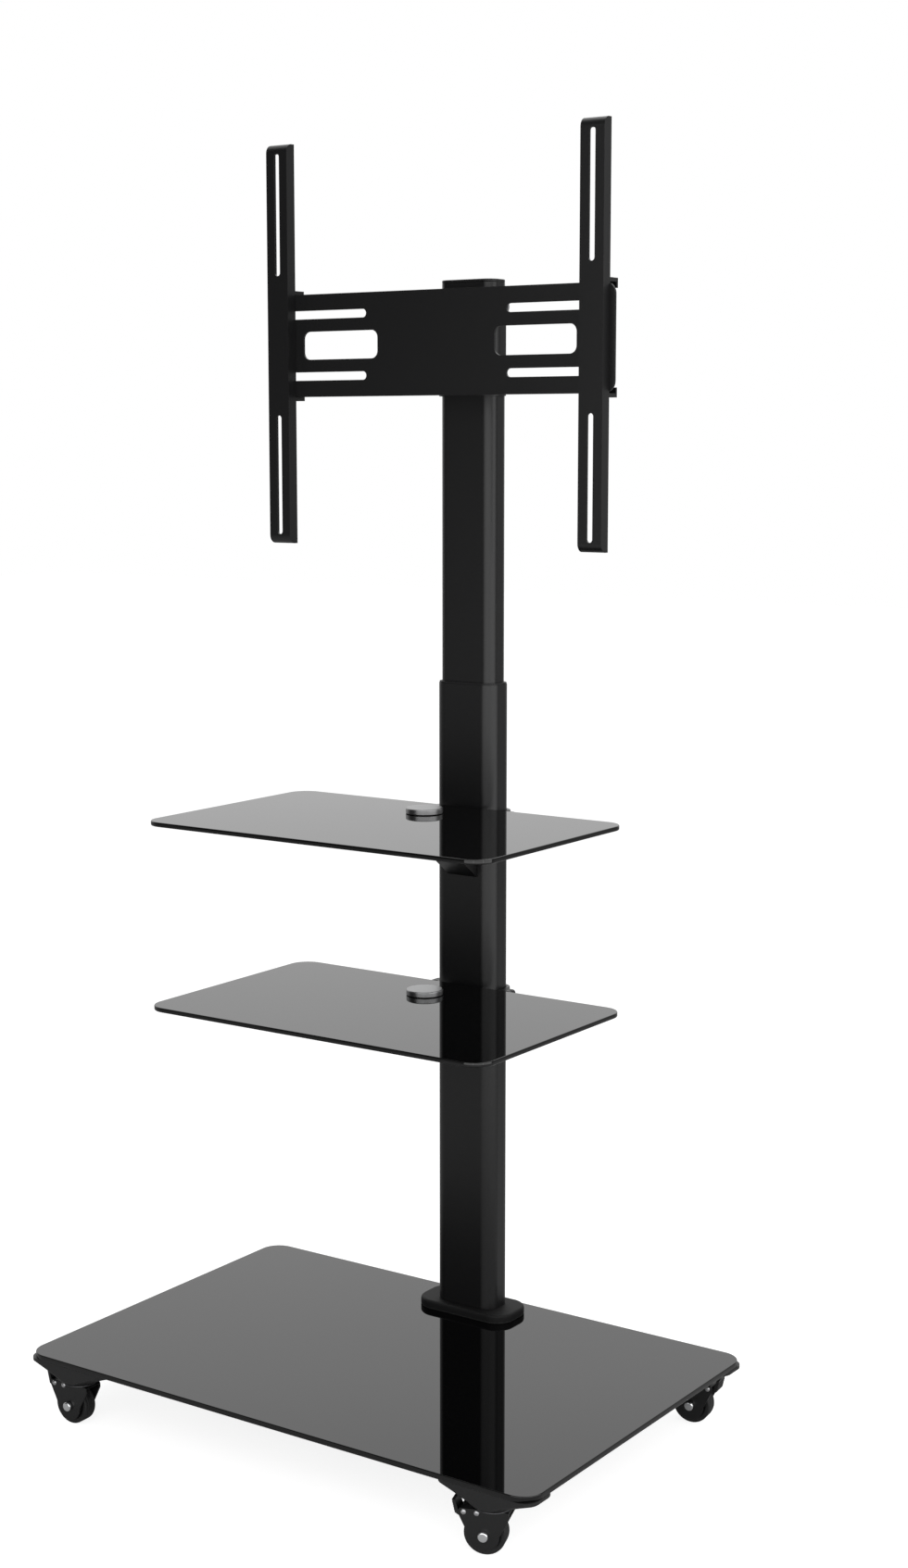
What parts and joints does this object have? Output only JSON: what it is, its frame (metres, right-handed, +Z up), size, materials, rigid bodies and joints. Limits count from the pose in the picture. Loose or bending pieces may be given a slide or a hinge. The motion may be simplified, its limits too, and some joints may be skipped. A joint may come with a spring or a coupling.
{
  "type": "rolling screen stand",
  "caption": "Wheeled stand for a flat screen: glass base on casters, telescoping mast, glass shelves on cantilever arms and a swivelling, tilting mounting head.",
  "frame": {"origin": "on the floor, under the middle of the base glass", "axes": "+Z up along the mast, -Y out of the front, where the shelves reach and the screen faces, +X to the viewer's right"},
  "size_m": [0.65, 0.429, 1.3735],
  "materials": {
    "black_glass": "polished black tempered glass",
    "black_paint": "satin black powder coat",
    "black_plastic": "fine-textured black moulding",
    "rubber": "matt black rubber",
    "tyre": "soft black tread",
    "bright_steel": "polished and plated steel",
    "dark_steel": "dark plated steel"
  },
  "bodies": {
    "stand": {"base_glass": "black_glass", "corner_block_front_left": "black_plastic", "corner_block_front_right": "black_plastic", "corner_block_back_right": "black_plastic", "corner_block_back_left": "black_plastic", "under_plate": "dark_steel", "foot_gasket": "rubber", "foot_plate": "black_paint", "outer_tube": "black_paint", "guide_bush": "black_plastic"},
    "mast": {"inner_tube": "black_paint", "mast_glide": "black_plastic", "mast_cap": "black_plastic", "head_saddle": "black_paint", "saddle_bolt_upper": "bright_steel", "saddle_bolt_lower": "bright_steel", "swivel_pin": "bright_steel"},
    "mast_lock": {"mast_knob": "black_plastic"},
    "knuckle": {"swivel_knuckle": "black_paint", "tilt_bolt": "bright_steel"},
    "screen_carrier": {"screen_plate": "black_paint", "screen_arm_left": "black_paint", "screen_arm_right": "black_paint"},
    "tilt_lock": {"tilt_knob": "black_plastic"},
    "upper_shelf": {"upper_shelf_glass": "black_glass", "upper_shelf_arm": "black_paint", "upper_shelf_band": "black_paint", "upper_shelf_pad": "rubber", "upper_shelf_washer": "rubber", "upper_shelf_disc": "bright_steel"},
    "lower_shelf": {"lower_shelf_glass": "black_glass", "lower_shelf_arm": "black_paint", "lower_shelf_band": "black_paint", "lower_shelf_pad": "rubber", "lower_shelf_washer": "rubber", "lower_shelf_disc": "bright_steel"},
    "caster_front_left": {"swivel_race_front_left": "dark_steel", "fork_front_left": "black_paint", "axle_front_left": "bright_steel"},
    "wheel_front_left": {"tyre_front_left": "tyre", "hub_front_left": "black_plastic"},
    "brake_front_left": {"brake_lever_front_left": "black_paint"},
    "caster_front_right": {"swivel_race_front_right": "dark_steel", "fork_front_right": "black_paint", "axle_front_right": "bright_steel"},
    "wheel_front_right": {"tyre_front_right": "tyre", "hub_front_right": "black_plastic"},
    "brake_front_right": {"brake_lever_front_right": "black_paint"},
    "caster_back_right": {"swivel_race_back_right": "dark_steel", "fork_back_right": "black_paint", "axle_back_right": "bright_steel"},
    "wheel_back_right": {"tyre_back_right": "tyre", "hub_back_right": "black_plastic"},
    "brake_back_right": {"brake_lever_back_right": "black_paint"},
    "caster_back_left": {"swivel_race_back_left": "dark_steel", "fork_back_left": "black_paint", "axle_back_left": "bright_steel"},
    "wheel_back_left": {"tyre_back_left": "tyre", "hub_back_left": "black_plastic"},
    "brake_back_left": {"brake_lever_back_left": "black_paint"}
  },
  "joints": [
    {"name": "mast_slide", "type": "slide", "parent": "stand", "child": "mast", "axis": [0, 0, 1], "range_m": [-0.2, 0.1]},
    {"name": "mast_lock_turn", "type": "hinge", "parent": "stand", "child": "mast_lock", "pos_m": [0, 0.2, 0.768], "axis": [0, -1, 0], "range_deg": [-180, 180]},
    {"name": "upper_shelf_slide", "type": "slide", "parent": "stand", "child": "upper_shelf", "axis": [0, 0, 1], "range_m": [-0.04, 0.06]},
    {"name": "lower_shelf_slide", "type": "slide", "parent": "stand", "child": "lower_shelf", "axis": [0, 0, 1], "range_m": [-0.1, 0.05]},
    {"name": "head_swivel", "type": "hinge", "parent": "mast", "child": "knuckle", "pos_m": [0, 0.1372, 1.1585], "axis": [0, 0, 1], "range_deg": [-20, 20]},
    {"name": "head_tilt", "type": "hinge", "parent": "knuckle", "child": "screen_carrier", "pos_m": [0, 0.111, 1.1585], "axis": [1, 0, 0], "range_deg": [-5, 15]},
    {"name": "tilt_lock_turn", "type": "hinge", "parent": "knuckle", "child": "tilt_lock", "pos_m": [0.05, 0.111, 1.1585], "axis": [1, 0, 0], "range_deg": [-180, 180]},
    {"name": "front_left_swivel", "type": "hinge", "parent": "stand", "child": "caster_front_left", "pos_m": [-0.269, -0.191, 0.048], "axis": [0, 0, 1], "continuous": true},
    {"name": "front_left_roll", "type": "hinge", "parent": "caster_front_left", "child": "wheel_front_left", "pos_m": [-0.276, -0.19124, 0.021], "axis": [0.0349, -0.9994, 0], "continuous": true},
    {"name": "front_left_brake", "type": "hinge", "parent": "caster_front_left", "child": "brake_front_left", "pos_m": [-0.29548, -0.19192, 0.04], "axis": [0.0349, -0.9994, 0], "range_deg": [0, 12]},
    {"name": "front_right_swivel", "type": "hinge", "parent": "stand", "child": "caster_front_right", "pos_m": [0.269, -0.191, 0.048], "axis": [0, 0, 1], "continuous": true},
    {"name": "front_right_roll", "type": "hinge", "parent": "caster_front_right", "child": "wheel_front_right", "pos_m": [0.26238, -0.19328, 0.021], "axis": [0.3256, -0.9455, 0], "continuous": true},
    {"name": "front_right_brake", "type": "hinge", "parent": "caster_front_right", "child": "brake_front_right", "pos_m": [0.24394, -0.19963, 0.04], "axis": [0.3256, -0.9455, 0], "range_deg": [0, 12]},
    {"name": "back_right_swivel", "type": "hinge", "parent": "stand", "child": "caster_back_right", "pos_m": [0.269, 0.191, 0.048], "axis": [0, 0, 1], "continuous": true},
    {"name": "back_right_roll", "type": "hinge", "parent": "caster_back_right", "child": "wheel_back_right", "pos_m": [0.27595, 0.19185, 0.021], "axis": [0.1219, -0.9925, 0], "continuous": true},
    {"name": "back_right_brake", "type": "hinge", "parent": "caster_back_right", "child": "brake_back_right", "pos_m": [0.2953, 0.19423, 0.04], "axis": [-0.1219, 0.9925, 0], "range_deg": [0, 12]},
    {"name": "back_left_swivel", "type": "hinge", "parent": "stand", "child": "caster_back_left", "pos_m": [-0.269, 0.191, 0.048], "axis": [0, 0, 1], "continuous": true},
    {"name": "back_left_roll", "type": "hinge", "parent": "caster_back_left", "child": "wheel_back_left", "pos_m": [-0.27593, 0.19197, 0.021], "axis": [-0.1392, -0.9903, 0], "continuous": true},
    {"name": "back_left_brake", "type": "hinge", "parent": "caster_back_left", "child": "brake_back_left", "pos_m": [-0.29524, 0.19469, 0.04], "axis": [-0.1392, -0.9903, 0], "range_deg": [0, 12]}
  ]
}
